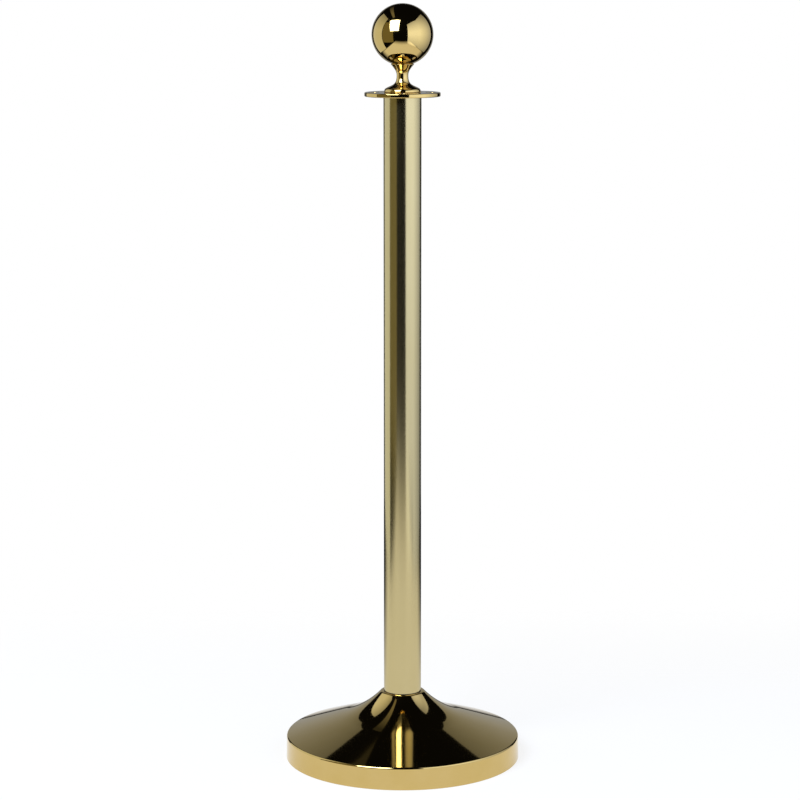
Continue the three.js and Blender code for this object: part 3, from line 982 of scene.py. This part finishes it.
LEFT_WALL_X = -1.14
RIGHT_WALL_X = 1.13
WING_BACK = -0.43
WALL_TOP = 2.2
BACKDROP_TOP = 1.65
DIM_WALL_TOP = 2.7
PALE = (0.95, 1, 1)
COOL = (0.76, 0.83, 1)
KEY_PLACE = (-1.07, -1.51, 2.16)
KEY_SIZE = (1.33, 1.61)
KEY_TARGET = (-0.32, 0.17, 0.62)
KEY_ALONG = (0.93, -0.36, 0.06)
STRIP_PLACE = (-0.74, 0.6, 2.6)
STRIP_SIZE = (2.4, 0.24)
STRIP_TARGET = (0, 0, 0.1)
STRIP_ALONG = (0.1, 1, 0)

CAMERA_DISTANCE = 3.402
CAMERA_HEIGHT = 1.062
CAMERA_TILT = math.radians(8.766)
CAMERA_LENS = 116.54
CAMERA_SHIFT = (-0.0031, -0.045)


def fading(tree, place, fades):
    """The share that is left at a place once every fade is taken off. Each fade gives an axis,
    where it starts, where it ends, and the share that is left from there on."""
    parts = node(tree, "ShaderNodeSeparateXYZ")
    tree.links.new(place, parts.inputs[0])
    left = None
    for axis, start_at, end_at, share in fades:
        fade = spread(tree, parts.outputs[axis], 1, share, start_at, end_at)
        if left is None:
            left = fade
            continue
        both = node(tree, "ShaderNodeMath", operation="MULTIPLY")
        tree.links.new(left, both.inputs[0])
        tree.links.new(fade, both.inputs[1])
        left = both.outputs[0]
    return left


def studio_floor():
    """A pale floor that fades out in front, behind and where the side walls stand."""
    bm = bmesh.new()
    bmesh.ops.create_circle(bm, cap_ends=True, segments=TURN_SMALL, radius=FLOOR_REACH)
    floor = object_from(bm, "floor")
    material, tree, shader = plain_material("pale_floor", (FLOOR_ALBEDO,) * 3, 0.9)
    shader.inputs["Specular IOR Level"].default_value = 0.0
    shader.inputs["Emission Color"].default_value = (1, 1, 1, 1)
    shader.inputs["Emission Strength"].default_value = FLOOR_GLOW
    tree.links.new(fading(tree, place_on(tree), FLOOR_FADES), shader.inputs["Alpha"])
    floor.data.materials.append(material)


def studio_air():
    """White behind the object for the camera, and dark for what the brass reflects."""
    world = bpy.data.worlds.new("studio")
    bpy.context.scene.world = world
    world.use_nodes = True
    tree = world.node_tree
    backdrop = tree.nodes["Background"]
    path = node(tree, "ShaderNodeLightPath")
    glow = spread(tree, path.outputs["Is Camera Ray"], AIR_GLOW, 1, 0, 1)
    tree.links.new(glow, backdrop.inputs["Strength"])
    backdrop.inputs["Color"].default_value = (1, 1, 1, 1)


def panel(name, centre, size, target, radiance, colour, along=None, fades=()):
    """A soft panel that faces a target and isn't seen by the camera. Its width runs level, or
    along a given direction. Its fades run over places from 0 to 1 across and up the panel."""
    light = bpy.data.lights.new(name, "AREA")
    light.shape = "RECTANGLE"
    light.size, light.size_y = size
    light.energy = math.pi * radiance * size[0] * size[1]
    light.color = colour
    light.use_nodes = True
    if fades:
        tree = light.node_tree
        place = node(tree, "ShaderNodeNewGeometry").outputs["Parametric"]
        strength = tree.nodes["Emission"].inputs["Strength"]
        tree.links.new(fading(tree, place, fades), strength)
    holder = bpy.data.objects.new(name, light)
    back = (Vector(centre) - Vector(target)).normalized()
    level = Vector((0, 0, 1)).cross(back) if along is None else Vector(along)
    width = (level - level.dot(back) * back).normalized()
    turn = Matrix((width, back.cross(width), back)).transposed().to_4x4()
    holder.matrix_world = Matrix.Translation(centre) @ turn
    holder.visible_camera = False
    bpy.context.scene.collection.objects.link(holder)


def wall(name, first, last, top, radiance, colour, fades=()):
    """An upright panel from the floor to a top, between two points of the floor plan. It faces
    left of the way from the first to the last."""
    first, last = Vector(first), Vector(last)
    middle = (first + last) / 2
    run = last - first
    target = middle + Vector((-run.y, run.x))
    height = top / 2
    size = (run.length, top)
    panel(name, (*middle, height), size, (*target, height), radiance, colour, fades=fades)


def studio_lights():
    """Boards and softboxes stand round the post, and what is between them stays dark."""
    head = ("Y", 0.55, 0.95, 0.5)
    foot = ("Y", 0.45, 0.05, 0.6)
    hem = ("Y", 0.08, 0, 0.5)
    far_end = ("X", 0, 0.8, 0.45)
    wing_end = (RIGHT_WALL_X, WING_BACK)
    wall("left_wall", (LEFT_WALL_X, 1.25), (LEFT_WALL_X, -0.16), WALL_TOP, 0.92, PALE, [head])
    wall("right_wall", wing_end, (RIGHT_WALL_X, 0.92), WALL_TOP, 1.95, COOL, [head, foot, far_end])
    wall("right_wing", (0.56, -1.56), wing_end, WALL_TOP, 1.95, COOL, [head, foot, hem])
    high = [("Y", 0.2, 1, 0.45)]
    wall("backdrop", (0.85, 1.6), (-0.85, 1.6), BACKDROP_TOP, 0.42, (0.9, 0.95, 1), high)
    wall("dim_wall", (-2.4, -0.4), (-1.2, -1.7), DIM_WALL_TOP, 0.23, (1, 0.88, 0.4))
    panel("key", KEY_PLACE, KEY_SIZE, KEY_TARGET, 11, (0.75, 0.85, 1), KEY_ALONG)
    rear = [("X", 0.3, 0.9, 0.15)]
    panel("strip", STRIP_PLACE, STRIP_SIZE, STRIP_TARGET, 0.22, (1, 0.95, 0.7), STRIP_ALONG, rear)


def studio_camera():
    """The camera stands a little above the finial's height and looks slightly down."""
    camera = bpy.data.cameras.new("camera")
    camera.lens = CAMERA_LENS
    camera.shift_x, camera.shift_y = CAMERA_SHIFT
    holder = bpy.data.objects.new("camera", camera)
    holder.location = (0, -CAMERA_DISTANCE, CAMERA_HEIGHT)
    holder.rotation_euler = (QUARTER - CAMERA_TILT, 0, 0)
    bpy.context.scene.collection.objects.link(holder)
    bpy.context.scene.camera = holder


studio_floor()
studio_air()
studio_lights()
studio_camera()
bpy.context.scene.view_settings.view_transform = "Standard"

# ---------- The end -----------------------------

bpy.context.view_layer.update()
